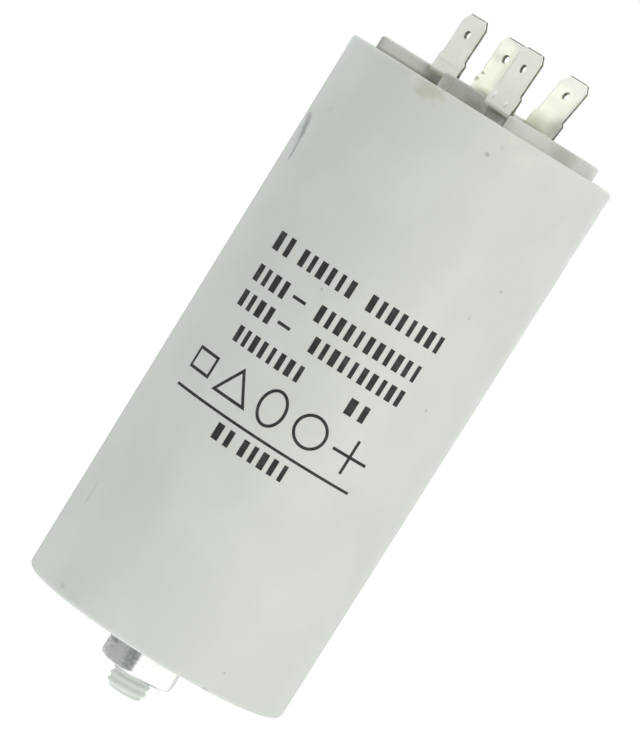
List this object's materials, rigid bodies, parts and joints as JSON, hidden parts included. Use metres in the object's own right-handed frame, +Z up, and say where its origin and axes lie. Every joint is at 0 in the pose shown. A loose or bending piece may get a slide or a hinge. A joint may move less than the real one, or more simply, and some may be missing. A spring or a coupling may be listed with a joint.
{
  "type": "motor run capacitor",
  "caption": "Round plastic-cased motor capacitor with push-on blade terminals on its lid and a threaded fixing stud with a hexagon nut under its base.",
  "frame": {"origin": "the centre of the foot ring that the can's base stands on", "axes": "+Z up the can's axis from the base to the terminals, +X along the width of the blades, +Y across them"},
  "size_m": [0.05, 0.05, 0.1258],
  "materials": {
    "can_plastic": "satin white moulded plastic",
    "zinc_plate": "zinc-plated steel, slightly mottled",
    "lid_plastic": "pale grey moulded plastic",
    "seal_resin": "cured sealing resin",
    "tin_plate": "dull tinned sheet",
    "film": "wound metallised film",
    "core_plastic": "moulded core",
    "sprayed_zinc": "rough sprayed metal",
    "tinned_copper": "tinned copper ribbon",
    "wire_sleeve": "insulated wire",
    "potting_resin": "cured potting resin"
  },
  "bodies": {
    "root": {"can": "can_plastic", "hex_nut": "zinc_plate", "lid": "lid_plastic", "seal_resin": "seal_resin", "terminal_left": "tin_plate", "terminal_right": "tin_plate", "winding": "film", "winding_core": "core_plastic", "end_spray_top": "sprayed_zinc", "end_spray_bottom": "sprayed_zinc", "lead_top": "tinned_copper", "lead_bottom": "wire_sleeve", "potting_resin": "potting_resin"}
  },
  "joints": []
}
